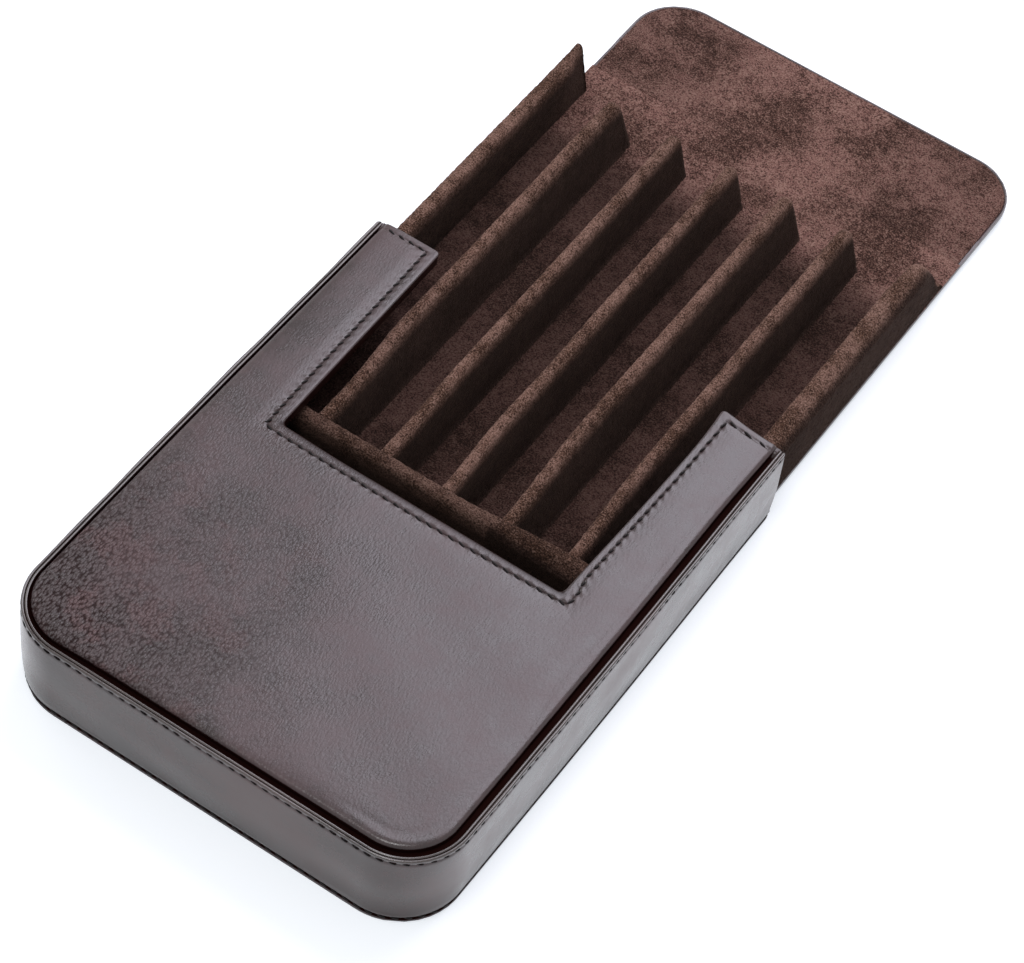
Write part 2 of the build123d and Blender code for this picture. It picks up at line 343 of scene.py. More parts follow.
def band_section():
    """The band's section as insets and heights: outer face, raw rim, inner face and foot."""
    low_z, inner_inset = foot_z + 0.05, rim_inset + hide - edge_gap
    at_foot = spread(low_z, foot_z + 2.4, spacing=0.16)
    between = spread(foot_z + 3.1, rim_z - 2.9, spacing=0.85)
    at_rim = spread(rim_z - 2.4, rim_z - 0.6, spacing=0.17)
    outer = [(band_side(z), z) for z in np.concatenate([at_foot, between, at_rim])]
    rim = raw_edge(rim_inset, inner_inset, rim_z)
    inner = [(inner_inset, pocket_ceiling + 0.1), (band_depth, pocket_ceiling - 0.02),
             (band_depth, low_z)]
    return np.array(outer + rim + inner)


places, inwards, run = u_stations(half_width, mouth_y, closed_y, corner_radius, near_edge, spacing=0.7)
section = band_section()
section_in, section_z = section.T
outer_face = section_in < 0.6
end_drop = drop(from_mouth(run), end_radius)[:, None]
pucker = pucker_depth * np.cos(2 * np.pi * run / stitch_pitch)[:, None]
sewn = hump(section_z - rim_stitch_z, width=1.0) + hump(section_z - foot_stitch_z, width=1.1)
swell = swell_height * ripple(run[:, None], section_z * swell_squeeze, length=26, seed=4)
rim_waver = 0.06 * ripple(run, run * 0, length=18, seed=9)[:, None]
inset = section_in + outer_face * (end_drop + pucker * sewn - swell)
height = section_z + (section_z > rim_z - 0.5) * (rim_waver - end_droop * end_drop)
# Painted shade in both seam grooves, towards the foot, where the band reflects the shadowed floor, and on
# the inner face, which only faces the pocket.
foot_seam_shade = hump(section_z - foot_stitch_z, width=0.32)
rim_seam_shade = 0.55 * hump(section_z - rim_stitch_z, width=0.28)
foot_shade = 0.62 * (1 - rising(section_z, start=foot_z, over=15))
band_shade = np.maximum(foot_seam_shade + rim_seam_shade, foot_shade)
band_shade = np.where((section_in > 0.8) & (section_z < rim_z - 0.25), 1, band_shade)
band = made("band_calfskin", *loft(bowed(around(places, inwards, inset, height))), band_hide,
            painted_shade=np.tile(band_shade, (len(run), 1)))
with_cut_edge(band, len(section), np.flatnonzero(section_z > rim_z - 0.45))
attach(band, "sleeve")
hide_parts("sleeve_band_leather")


# The sleeve's front
# Calfskin stretched over a foam pad on stiff board, with a deep cut-out over the slots. At the rim
# it is pressed down into a channel and turned up against the band, and round the cut-out and at
# the mouth it is turned over the board and sewn down, so that a flat margin runs along the edge.
crown_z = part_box("sleeve_front_leather")[1].z / mm
flange_inset = rim_inset + 2 * hide
crown_inset = flange_inset + 1.6
channel_z = pocket_ceiling + 1.1
channel_bend = 0.35
notch_y = mouth_y - 73.5
notch_mouth_left = 44.4
notch_mouth_right = 46.0
notch_bottom = 43.3
notch_corner = 1.6
margin = 3.2
mouth_margin = 2.2
arm_corner = 1.5
arm_corner_reach = 1.2
bend_drop, bend_reach = 0.8, 0.4
roll_drop, roll_reach = 0.36, 2.6
edge_drop, edge_reach = 0.34, 0.22
margin_drop = 0.15
groove_depth = 0.17
tuck_height = 0.1
waver_height = 0.12
crease_depth = 0.13
edge_sag = 0.65
row_sag = 0.5
row_shift, tip_shift = 1.3, 0.5
arm_wider, wider_reach = 1.7, 11
arm_longer, arm_raised, tip_reach = 1.1, 0.5, 6


def notch_half(side, y):
    """The cut-out's half width at some place along the case, on the side with this sign."""
    share = np.clip((y - notch_y) / (mouth_y - notch_y), 0, 1)
    at_mouth = np.where(side < 0, notch_mouth_left, notch_mouth_right)
    return notch_bottom + (at_mouth - notch_bottom) * share


def from_notch(x, y):
    """Distance out from the cut-out's edge, counted so that its low corners grow squarer."""
    across = np.abs(x) - notch_half(x, y) + notch_corner
    down = notch_y - y + notch_corner
    most = np.maximum(across, down)
    far = np.hypot(np.maximum(across, 0), np.maximum(down, 0))
    return np.where(most > 0, (far - notch_corner) * most / np.maximum(far, 1e-9), most - notch_corner)


def by_hand(points):
    """The cut-out as it was cut and sewn: a bowed bottom edge, and a right arm wider at its tip."""
    x, y = points[..., 0].copy(), points[..., 1].copy()
    out = np.maximum(from_notch(x, y), 0)
    at_edge = np.clip(1 - out / margin, 0, 1)
    nearby = 1 - rising(out, start=margin, over=10)
    edge_down = edge_sag * rising(x, start=-notch_mouth_right, over=25)
    row_down = row_sag * np.cos(np.clip(x / notch_mouth_right, -1, 1) * np.pi / 2)
    down = (edge_down * at_edge + row_down * (1 - at_edge)) * (1 - rising(y, start=notch_y, over=20))
    points[..., 1] -= down * nearby
    edge_in = arm_wider * np.exp((y - mouth_y) / wider_reach)
    row_in = (row_shift * rising(y, start=notch_y, over=8)
              + tip_shift * rising(y, start=mouth_y - 30, over=30))
    points[..., 0] -= (edge_in * at_edge + row_in * (1 - at_edge)) * nearby * (x > 0)
    tip = (x > 0) * (1 - rising(x, start=notch_mouth_right, over=12))
    tip = tip * np.exp(-np.abs(y - mouth_y) / tip_reach)
    points[..., 1] += arm_longer * tip
    points[..., 2] += arm_raised * tip
    return points


def from_corner(across, along, radius):
    """Distance in from a panel's edge, from how far places lie beyond the centre of its corner."""
    outside = np.hypot(np.maximum(across, 0), np.maximum(along, 0))
    return radius - outside - np.minimum(np.maximum(across, along), 0)


def from_crown(x, y):
    """Distance in from the padded crown's outer edge."""
    across = np.abs(x) - (half_width - corner_radius)
    return from_corner(across, closed_y + corner_radius - y, corner_radius - crown_inset)


def seam_at(x, y):
    """Distance in from the sewn edges, along the cut-out and the mouth."""
    return np.maximum(np.minimum(from_notch(x, y), (mouth_y - y) * margin / mouth_margin), 0)


def crown_top(x, y):
    """Height of the padded front: a tight bend at the channel, a soft roll, and the sewn margin."""
    edge = np.maximum(from_crown(x, y), 0)
    seam = seam_at(x, y)
    roll = bend_drop * np.exp(-edge / bend_reach) + roll_drop * np.exp(-edge / roll_reach)
    turned = margin_drop * (1 - rising(seam, start=margin, over=4.2))
    groove = groove_depth * hump(seam - margin, width=0.4)
    bent = edge_drop * np.exp(-seam / edge_reach)
    puckers = np.cos(2 * np.pi * (np.abs(x) + y) / stitch_pitch)
    tucks = tuck_height * hump(seam - margin, width=1.0) * puckers
    waver = waver_height * ripple(x, y, length=34, seed=2) * rising(edge, start=0, over=6)
    # Along the right channel the hide was pulled over the foam, which left a soft crease.
    crease_at = 3.4 + 1.3 * ripple(x, y, length=50, seed=7)
    pulled = crease_depth * hump(edge - crease_at, width=0.9) * rising(x, start=30, over=15)
    return crown_z - roll - turned - groove - bent + tucks + waver - pulled


def matched_notch(outer_places):
    """For each station of the outline, the place on the cut-out's edge and the way out from it."""
    found = []
    evenness, just_past = 0.12, 1e-6
    centre_x, turn_start = half_width - corner_radius, closed_y + corner_radius
    for x, y in outer_places:
        side = -1 if x < 0 else 1
        if y >= turn_start - just_past:
            lean = math.atan2(notch_half(side, mouth_y) - notch_bottom, mouth_y - notch_y)
            u = (mouth_y - y) / (mouth_y - turn_start)
            share = evenness * u + (1 - evenness) * (1 - (1 - u) ** 2)
            along = mouth_y - share * (mouth_y - notch_y - notch_corner)
            found.append((side * notch_half(side, along), along, side * math.cos(lean), -math.sin(lean)))
        elif abs(x) > centre_x + just_past:
            angle = math.atan2(turn_start - y, abs(x) - centre_x)
            out = (side * math.cos(angle), -math.sin(angle))
            squarer = 1 / max(abs(out[0]), abs(out[1]))
            found.append((side * (notch_bottom - notch_corner) + notch_corner * out[0],
                          notch_y + notch_corner + notch_corner * out[1],
                          out[0] * squarer, out[1] * squarer))
        else:
            found.append((x / centre_x * (notch_bottom - notch_corner), notch_y, 0, -1))
    found = np.array(found)
    return found[:, :2], found[:, 2:]


near_mouth = np.concatenate([near_edge, spread(1.3, 6.4, spacing=0.34)])
places, inwards, run = u_stations(half_width, mouth_y, closed_y, corner_radius, near_mouth, spacing=0.7)
notch_places, notch_out = matched_notch(places)

# Insets and heights from the turned-up edge, down beside it and along the channel to the crown.
edge_inset = rim_inset + hide + edge_gap
turned_up = [(edge_inset, pocket_ceiling)]
turned_up += raw_edge(edge_inset, flange_inset, rim_z - 0.05)
turned_up += [(flange_inset + 0.02, channel_z + channel_bend), (flange_inset + 0.1, channel_z + 0.1),
              (flange_inset + channel_bend, channel_z), (crown_inset - channel_bend, channel_z),
              (crown_inset - 0.1, channel_z + 0.08), (crown_inset - 0.02, channel_z + 0.3),
              (crown_inset, channel_z + 0.7)]
# Distances in from the crown's edge, and out from the cut-out's, closest where the hide bends.
crown_steps = np.array([0, 0.08, 0.18, 0.32, 0.5, 0.75, 1.05, 1.45, 2, 2.7, 3.6, 4.8, 6.4, 8])
margin_steps = np.array([7.2, 6.2, 5.4, 4.8, 4.4, 4.1, 3.85, 3.65, 3.5, 3.35, 3.15, 2.9, 2.5, 2, 1.5, 1.05,
                         0.7, 0.45, 0.28, 0.15, 0.06, 0])
fill_count = 52
fill_shares = spread(0, 1, 1 / fill_count)[1:-1]

rows = [places + inwards * inset for inset, _ in turned_up]
end_drop = drop(from_mouth(run), end_radius)
edge_waver = 0.05 * ripple(run, run * 0, length=18, seed=9) - end_droop * end_drop
closing = 0.9 * (1 - rising(from_mouth(run), start=1, over=2.4))
heights = [z + edge_waver * (z > rim_z - 0.7) + closing * (rim_z - z) * (inset > flange_inset)
           for inset, z in turned_up]
shadowed = [1.0 * (inset > flange_inset - 0.12 or z < rim_z - 0.6) for inset, z in turned_up]
crown_rows = [places + inwards * (crown_inset + step) for step in crown_steps]
margin_rows = [notch_places + notch_out * step for step in margin_steps]
fill_rows = [crown_rows[-1] * (1 - share) + margin_rows[0] * share for share in fill_shares]
for row in crown_rows + fill_rows + margin_rows:
    rows.append(row)
    heights.append(crown_top(row[:, 0], row[:, 1]))
# Painted shade in the channel and under the rim, along the crown's edge, in the sewn row's groove, and on
# the cut-out's bottom edge.
front_shade = [share * (1 - 0.9 * closing) for share in shadowed]
front_shade += [np.full(len(run), 0.9 * math.exp(-step / 0.05)) for step in crown_steps]
for row in fill_rows + margin_rows:
    x, y = row.T
    row_groove_shade = 0.8 * hump(seam_at(x, y) - margin, width=0.26)
    bottom_edge_shade = 0.85 * hump(from_notch(x, y), width=1.15) * (1 - rising(y, start=notch_y, over=1.5))
    front_shade.append(row_groove_shade + bottom_edge_shade)
# The hide turned down over the board's edge, a little full, and the underside back to the outline.
wall_top = heights[-1]
for share, out_by in ((0.12, -0.05), (0.35, -0.09), (0.65, -0.09), (0.9, -0.05), (1, -0.02)):
    rows.append(notch_places + notch_out * out_by)
    heights.append(wall_top + (pocket_ceiling - wall_top) * share)
for out_by, rise in ((0.9, 0), (1.1, 0.3)):
    rows.append(notch_places + notch_out * out_by)
    heights.append(np.full(len(run), pocket_ceiling + rise))
for in_by, rise in ((0.3, 0.3), (0.1, 0)):
    rows.append(places + inwards * (crown_inset + hide + in_by))
    heights.append(np.full(len(run), pocket_ceiling + rise))
# The turned-down edge and the underside are painted nearly black as painted shade.
front_shade += [np.full(len(run), 0.92)] * (len(rows) - len(front_shade))
front_points = np.empty((len(run), len(rows), 3))
front_points[..., :2] = np.stack(rows, 1)
front_points[..., 2] = np.stack(heights, 1)
# The channel is only a slit along the left side. It opens along the closed end.
slit = 0.95 * (1 - rising(run / run[-1], start=0.34, over=0.1))
slit += 0.5 * (1 - rising(from_mouth(run), start=0, over=30)) * (run > run[-1] / 2)
crown_side, crown_reach = 4, 8.2
first, last = len(turned_up) - crown_side, len(turned_up) + len(crown_steps)
fading = np.concatenate([np.ones(crown_side), 1 - crown_steps / crown_reach])
front_points[:, first:last, :2] -= inwards[:, None, :] * slit[:, None, None] * fading[:, None]
# The arms' corners at the mouth are rounded where the hide is folded over them.
from_edge = np.maximum(from_notch(front_points[..., 0], front_points[..., 1]), 0)
from_end = mouth_y - front_points[..., 1]
front_points[..., 1] -= drop(from_edge, arm_corner) * np.exp(-from_end / arm_corner_reach)
front = made("front_calfskin", *loft(bowed(by_hand(front_points))), brown_hide,
             painted_shade=np.stack(front_shade, 1))
raw_rows = [row for row, (inset, z) in enumerate(turned_up) if inset < flange_inset and z > rim_z - 0.5]
with_cut_edge(front, len(rows), raw_rows)
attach(front, "sleeve")
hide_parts("sleeve_front_leather")


# Stitches
# Waxed linen thread, near black, sewn at a slant every 3.3 mm. The rows run round the cut-out
# and the mouth, under the rim, and along the foot, each sunk a little into the leather.
thread_length = 2.5
thread_slant = 0.42
thread_rise = 0.12
thread_dive = 0.5
end_thinning = 0.35
row_end = 0.9
u_row_end = 1.2


def waxed_thread():
    """Linen thread drawn through wax: twisted, dark, its wax dulled by wear."""
    material, tree, place = new_material("waxed_linen_thread")
    fibre_size, twist_depth = 0.5 * mm, 0.08 * mm
    fibre = add(tree, "TexNoise", {"Vector": place, "Scale": 1 / fibre_size, "Detail": 3.0})
    tint = add(tree, "Mix", {"Factor": fibre, 6: colour("#060404"), 7: colour("#171112")}, data_type="RGBA")
    twist = add(tree, "Bump", {"Height": fibre, "Distance": twist_depth})
    wax = add(tree, "BsdfPrincipled", {
        "Base Color": tint.outputs[2], "Roughness": 0.6, "Specular IOR Level": 0.2, "Normal": twist})
    add(tree, "OutputMaterial", {"Surface": wax})
    return material


linen_thread = waxed_thread()


def stitches(name, middles, alongs, outs, thread_width, body):
    """A row of stitches, each a short six-sided thread that dives into the leather at both ends."""
    threads = []
    for middle, along, out in zip(middles, alongs, outs):
        side = np.cross(along, out)
        rings = []
        for share in (-1, -0.82, -0.4, 0, 0.4, 0.82, 1):
            lift = thread_rise - thread_dive * abs(share) ** 4
            thick = thread_width / 2 * (1 - end_thinning * abs(share) ** 3)
            centre = middle + along * share * thread_length / 2 + out * lift + side * thread_slant * share
            rings.append([centre + thick * (math.cos(a) * side + math.sin(a) * out)
                          for a in np.arange(6) * np.pi / 3])
        threads.append(loft(np.array(rings)))
    points, faces = joined(*threads)
    piece = made(name, bowed(by_hand(points)), faces, linen_thread, sharp=80)
    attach(piece, body)


def evenly(line):
    """Middles and directions of stitches along a line of points."""
    steps = np.linalg.norm(np.diff(line, axis=0), axis=1)
    total = np.concatenate([[0], np.cumsum(steps)])
    count = int(round(total[-1] / stitch_pitch))
    marks = (np.arange(count) + 0.5) * total[-1] / count

    def at(runs):
        return np.stack([np.interp(runs, total, column) for column in line.T], 1)

    close_by = 0.3
    alongs = at(marks + close_by) - at(marks - close_by)
    return at(marks), alongs / np.linalg.norm(alongs, axis=1)[:, None]


def edge_row(line_2d):
    """Stitches laid flat on the front along one straight leg of the cut-out's row."""
    middles, alongs = evenly(np.array(line_2d, float))
    z = crown_top(middles[:, 0], middles[:, 1])
    middles = np.column_stack([middles, z])
    alongs = np.column_stack([alongs, np.zeros(len(alongs))])
    return middles, alongs, np.tile([0.0, 0, 1], (len(middles), 1))


row_y = mouth_y - mouth_margin
left_top = (-(notch_mouth_left + margin), row_y)
right_top = (notch_mouth_right + margin, row_y)
left_low = (-(notch_bottom + margin), notch_y - margin)
right_low = (notch_bottom + margin, notch_y - margin)
arm_side = half_width - crown_inset - row_end
legs = [((-arm_side, row_y), left_top), (left_top, left_low), (left_low, right_low),
        (right_low, right_top), (right_top, (arm_side, row_y))]
middles, alongs, outs = (np.concatenate(part) for part in zip(*[edge_row(leg) for leg in legs]))
stitches("front_stitches", middles, alongs, outs, thread_width=0.7, body="sleeve")

for row_name, row_z, thread_width in (("rim_stitches", rim_stitch_z, 0.36),
                                      ("foot_stitches", foot_stitch_z, 0.55)):
    row_inset = float(band_side(np.array(row_z)))
    u_places, u_inwards, u_run = u_stations(half_width, mouth_y - u_row_end, closed_y, corner_radius,
                                            near=np.array([0, 1.0]), spacing=1.0)
    middles, alongs = evenly(np.column_stack([u_places + u_inwards * row_inset,
                                              np.full(len(u_run), row_z)]))
    outs = np.column_stack([alongs[:, 1], -alongs[:, 0], np.zeros(len(alongs))])
    outs *= np.sign((outs * middles).sum(1))[:, None]
    stitches(row_name, middles, alongs, outs, thread_width, body="sleeve")


# The sleeve's back
# A flat piece of the same calfskin, which the case rests on. The band's foot is sewn to its edge,
# and at the mouth it is turned up over the board as a low lip.
plate_near = np.array([0, 0.05, 0.13, 0.24, 0.4, 0.62, 0.95, 1.5])
sharp_corner = 0.05


def plate_rings(half, y_low, y_high, low_radius, high_radius, z_low, z_high, edge, spacing, extra=()):
    """Rings of a flat panel with rounded corners and edges, across the case and along it."""
    rows_y = both_ways(plate_near, y_low, y_high, spacing)
    rows_y = np.unique(np.concatenate([rows_y, np.asarray(extra, float)]))
    columns = max(4, int(2 * half / spacing))
    under_edge, under_rise = 0.4, min(edge, 0.3)
    rings = []
    for y in rows_y:
        w = half - drop(y - y_low, low_radius) - drop(y_high - y, high_radius)
        top_x = both_ways(plate_near, -w, w, 2 * (w - plate_near[-1]) / columns + 1e-9)
        low_x = np.array([w, w - under_edge, 0, -w + under_edge, -w])
        radius = low_radius if y < (y_low + y_high) / 2 else high_radius
        end = y - y_low if y < (y_low + y_high) / 2 else y_high - y
        inside = from_corner(np.abs(top_x) - (half - radius), radius - end, radius)
        top_z = z_high - drop(inside, edge)
        low_z = z_low + np.array([under_rise, 0, 0, 0, under_rise])
        ring_x, ring_z = np.concatenate([top_x, low_x]), np.concatenate([top_z, low_z])
        rings.append(np.column_stack([ring_x, np.full(len(ring_x), y), ring_z]))
    return np.array(rings)


pocket_half = -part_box("sleeve_band_lining")[0].x / mm - 0.3
lip_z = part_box("sleeve_back_leather")[1].z / mm
back_rings = plate_rings(half_width - base_inset, closed_y + base_inset, mouth_y,
                         low_radius=corner_radius - base_inset, high_radius=0.6,
                         z_low=0.0, z_high=foot_z, edge=0.3, spacing=2.5)
lip_rings = plate_rings(pocket_half, mouth_y - hide, mouth_y, sharp_corner, sharp_corner,
                        z_low=foot_z - 0.1, z_high=lip_z, edge=0.25, spacing=2.5)
back_points, back_faces = joined(loft(back_rings), loft(lip_rings))
back = made("back_calfskin", bowed(back_points), back_faces, brown_hide)
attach(back, "sleeve")
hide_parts("sleeve_back_leather")


# The tray's suede floor
# One sheet of split cowhide with its nap up, glued along the tray, over the spine and the flap.
# It is pressed into a shallow crease at each fold, and painted darker as shade along the slots and towards
# the flap's sides.
sheet_start, sheet_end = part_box("tray_floor_lining")
tray_half = sheet_end.x / mm
tray_low_y = sheet_start.y / mm
sheet_top = sheet_end.z / mm
sheet_low = sheet_start.z / mm
hide_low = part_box("tray_back_leather")[0].z / mm
joints = {joint["name"]: joint for joint in frame["joints"]}
fold_y = joints["spine_fold"]["pos_m"][1] / mm
flap_fold_y = joints["flap_fold"]["pos_m"][1] / mm
flap_end_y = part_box("flap_lining")[1].y / mm
tray_corner = corner_radius - (half_width - tray_half)
flap_corner = 15.5
hide_rim = 0.8
nap_depth = 0.035
glue_depth = 0.03


def suede(name, deep, pale, patch):
    """Split suede, sanded and dyed: speckled nap, flecked dark where it is pressed down, darkened by painted
    shade, no shine.
    """
    material, tree, place = new_material(name)
    # Nap tips 0.45 mm apart: the real fibres are finer, and are drawn coarser so that they show.
    tip_spacing, clump_size, nap_relief = 0.45 * mm, 2.6 * mm, 0.7 * mm
    tips = add(tree, "TexNoise", {
        "Vector": place, "Scale": 1 / tip_spacing, "Detail": 2.0, "Roughness": 0.6})
    clumps = add(tree, "TexNoise", {
        "Vector": place, "Scale": 1 / clump_size, "Detail": 3.0, "Roughness": 0.6})
    brushed = add(tree, "TexNoise", {
        "Vector": place, "Scale": 1 / (patch * mm), "Detail": 5.0, "Roughness": 0.68})
    cloud = add(tree, "MapRange", {
        "Value": brushed, "From Min": 0.36, "From Max": 0.6}, interpolation_type="SMOOTHSTEP")
    ground = add(tree, "Mix", {"Factor": cloud, 6: colour(deep), 7: colour(pale)}, data_type="RGBA")
    clumped = add(tree, "Math", {0: clumps, 1: 0.3, 2: tips}, operation="MULTIPLY_ADD")
    speck = add(tree, "Math", {0: cloud, 1: 0.07, 2: clumped}, operation="MULTIPLY_ADD")
    pressed = add(tree, "MapRange", {
        "Value": speck, "From Min": 0.56, "From Max": 0.7, "To Min": 0.85, "To Max": 0.0})
    tinted = add(tree, "Mix", {
        "Factor": pressed, 6: ground.outputs[2], 7: colour("#1a0f0c")}, data_type="RGBA")
    lit = add(tree, "MapRange", {
        "Value": speck, "From Min": 0.71, "From Max": 0.86, "To Min": 0.0, "To Max": 0.75})
    flecked = add(tree, "Mix", {"Factor": lit, 6: tinted.outputs[2], 7: colour("#a8897b")}, data_type="RGBA")
    # Painted shade from the painted_shade attribute darkens the nap.
    painted_shade = add(tree, "Attribute", attribute_name="painted_shade").outputs["Fac"]
    shaded = add(tree, "Mix", {
        "Factor": painted_shade, 6: flecked.outputs[2], 7: colour("#150c0a")}, data_type="RGBA")
    nap = add(tree, "Bump", {"Height": speck, "Distance": nap_relief, "Strength": 1.0})
    fibre = add(tree, "BsdfPrincipled", {
        "Base Color": shaded.outputs[2], "Roughness": 0.95, "IOR": 1.4, "Normal": nap,
        "Specular IOR Level": 0.1, "Sheen Weight": 0.2, "Sheen Roughness": 0.5,
        "Sheen Tint": colour("#b79a8c")})
    add(tree, "OutputMaterial", {"Surface": fibre})
    return material


open_suede = suede("split_suede_open", "#654840", "#8a645c", patch=24)
wall_suede = suede("split_suede_wrapped", "#614639", "#806155", patch=14)


def napped(points, depth, seed):
    """The same points moved at random by up to the nap's depth, so that edges look fuzzy."""
    draw = np.random.default_rng(seed)
    return points + draw.normal(0, depth, points.shape) * [1, 1, 0.8]


def laid(rings, uneven, length, seed):
    """A glued sheet of suede as it lies: its top side is a little uneven."""
    top_side = rings[..., 2] > sheet_low + 0.2
    rings[..., 2] += uneven * ripple(rings[..., 0], rings[..., 1], length, seed) * top_side
    return rings


def creased(rings, at_y, deep, wide):
    """A sheet pressed down along a fold across it."""
    y = rings[..., 1]
    wander = 0.35 * ripple(rings[..., 0], y * 0, length=40, seed=12)
    rings[..., 2] -= deep * hump(y - at_y - wander, wide) * (rings[..., 2] > sheet_low + 0.2)
    return rings


middle_y = (fold_y + flap_fold_y) / 2
near_fold = np.arange(-3, 3.01, 0.3)
fold_rows = fold_y + near_fold
flap_rows = flap_fold_y + near_fold
floor_rings = plate_rings(tray_half, tray_low_y, middle_y, tray_corner, sharp_corner,
                          sheet_low - glue_depth, sheet_top, edge=0.02, spacing=0.9, extra=fold_rows)
floor_rings = laid(floor_rings, uneven=0.08, length=14, seed=21)
floor_rings = creased(floor_rings, fold_y, deep=0.35, wide=0.8)
# Painted shade along the slots, deepening away from the fold.
slot_shade = 0.72 * rising(fold_y - floor_rings[..., 1], start=9, over=16)
floor_suede = made("tray_suede", *loft(napped(floor_rings, nap_depth, seed=31)),
                   open_suede, painted_shade=slot_shade)
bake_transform(floor_suede)
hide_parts("tray_floor_lining", "spine_lining")

flap_rings = plate_rings(tray_half - hide_rim, middle_y, flap_end_y - hide_rim, sharp_corner,
                         flap_corner - hide_rim, sheet_low - glue_depth, sheet_top,
                         edge=0.35, spacing=0.9, extra=flap_rows)
flap_rings = laid(flap_rings, uneven=0.12, length=22, seed=22)
flap_rings = creased(flap_rings, flap_fold_y, deep=0.25, wide=0.9)
# Painted shade towards the flap's left and right sides.
flap_side_shade = 0.22 * rising(np.abs(flap_rings[..., 0]), start=14, over=26)
flap_suede = made("flap_suede", *loft(napped(flap_rings, nap_depth, seed=32)),
                  open_suede, painted_shade=flap_side_shade)
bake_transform(flap_suede)
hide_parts("flap_lining")


# The tray's back
# The hide under the tray, the spine and the flap is one sheet. Round the flap its edge is turned
# up beside the suede, and shows as a thin rim.
tray_hide_rings = plate_rings(tray_half, tray_low_y, middle_y, tray_corner, sharp_corner, hide_low,
                              sheet_low, edge=0.12, spacing=2.0, extra=fold_rows)
tray_hide = made("tray_back_calfskin", *loft(tray_hide_rings), brown_hide)
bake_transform(tray_hide)
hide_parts("tray_back_leather", "spine_leather")

flap_hide_rings = plate_rings(tray_half, middle_y, flap_end_y, sharp_corner, flap_corner, hide_low,
                              sheet_low, edge=0.12, spacing=2.0, extra=flap_rows)
flap_x, flap_y, flap_z = (flap_hide_rings[..., k] for k in range(3))
edge = from_corner(np.abs(flap_x) - (tray_half - flap_corner), flap_y - (flap_end_y - flap_corner),
                   flap_corner)
turned_over = (1 - rising(edge, start=0.45, over=0.4)) * rising(flap_y, start=flap_fold_y + 1, over=3)
on_top = flap_z > sheet_low - 0.3
flap_hide_rings[..., 2] += turned_over * (sheet_top - 0.2 - sheet_low) * on_top
flap_hide = made("flap_back_calfskin", *loft(flap_hide_rings), brown_hide)
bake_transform(flap_hide)
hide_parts("flap_leather")


# The tray's wall
# One strip of board bent round the sides and the end of the tray and wrapped in suede. On the
# right it leans in over the last slot and runs down to the floor. On the left its end is cut off.
wall_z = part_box("tray_wall_cover")[1].z / mm
wall_foot = sheet_top - 0.1
wall_thick = 4.2
wall_slant = 2.6
wall_levels = 24
right_lean = 2.3
crease_z = wall_z - 3.0
wall_end_y = fold_y - 0.3
wrap_nap = 0.07


def bend_inside(face, radius):
    """The bend from a wall's top down into its inner face, as distances in and heights."""
    return [(face - radius + radius * math.sin(a), wall_z - radius + radius * math.cos(a))
            for a in np.linspace(0.15, np.pi / 2, 5)]


def wall_section():
    """The wall's section as distances in from its outer face and heights, round its top."""
    radius = 1.9
    up = np.linspace(wall_foot, wall_z - 1.95, wall_levels)
    outer = [(0, z) for z in up]
    shoulder = [(radius - radius * math.cos(a), wall_z - radius + radius * math.sin(a))
                for a in np.linspace(0.1, np.pi / 2, 7)]
    inner = [(wall_thick, z) for z in up[::-1]]
    return np.array(outer + shoulder + bend_inside(wall_thick, radius=1.3) + inner)


def right_section():
    """The same on the right, where the wall leans in: its outer face is creased, its top wider."""
    slope_in, slope_z, ridge_in = 2.9, wall_z - 0.5, 3.5
    outer = [(0, z) for z in np.linspace(wall_foot, crease_z, wall_levels)]
    shoulder = [(slope_in * share, crease_z + (slope_z - crease_z) * share)
                for share in np.linspace(0.04, 1, 6)]
    shoulder.append((ridge_in, wall_z - 0.06))
    inner = [(wall_thick + right_lean * ((z - sheet_top) / (wall_z - sheet_top)) ** 2, z)
             for z in np.linspace(wall_z - 1.2, wall_foot, wall_levels)]
    return np.array(outer + shoulder + bend_inside(wall_thick + right_lean, radius=0.9) + inner)


places, inwards, run = u_stations(tray_half, wall_end_y, tray_low_y, tray_corner, plate_near, spacing=0.8)
from_end = from_mouth(run)
on_right = rising(run, start=run[-1] / 2, over=40) * rising(from_end, start=-8, over=40)
sections = (wall_section()[None] * (1 - on_right)[:, None, None]
            + right_section()[None] * on_right[:, None, None])
wall_in, wall_up = sections[..., 0], sections[..., 1]
up_share = (wall_up - sheet_top) / (wall_z - sheet_top)
# Towards its ends the wrapping is thinner, and on the right it runs down to the floor.
tapered = 0.55 * (1 - rising(from_end, start=0, over=14))[:, None] * np.clip(up_share, 0, 1)
across = wall_in * (1 - tapered) + 0.4 * drop(from_end, radius=0.5)[:, None]
running_down = np.where(places[:, 0] > 0, 1 - 0.85 * (1 - rising(from_end, start=-1, over=17)), 1)
slanted = wall_slant * (1 - rising(from_end, start=0, over=12))
height = sheet_top + (wall_up - sheet_top) * running_down[:, None]
wall_points = around(places, inwards, across, height)
wall_points[..., 1] -= slanted[:, None] * up_share
# Painted shade low on the wall's sides, and over the right wall's outer face.
wall_shade = 0.85 * (1 - rising(wall_up, start=wall_z - 6, over=4.4))
outer_face_shade = 0.88 * (1 - rising(wall_in, start=0.5, over=2.2))
wall_shade = np.where(on_right[:, None] > 0.3, np.maximum(wall_shade * (wall_in > 3), outer_face_shade), wall_shade)
# The end of the tray lies in the shade of the front, which is painted on as shade.
shaded_end = 0.45 * (1 - rising(places[:, 1], start=tray_low_y + 5, over=12))[:, None]
wall_shade = np.maximum(wall_shade, shaded_end)
wall_cover = made("wall_suede", *loft(napped(wall_points, wrap_nap, seed=41)), wall_suede, sharp=70,
                  painted_shade=wall_shade)
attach(wall_cover, "tray")
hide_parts("tray_wall_cover", "tray_wall_board")


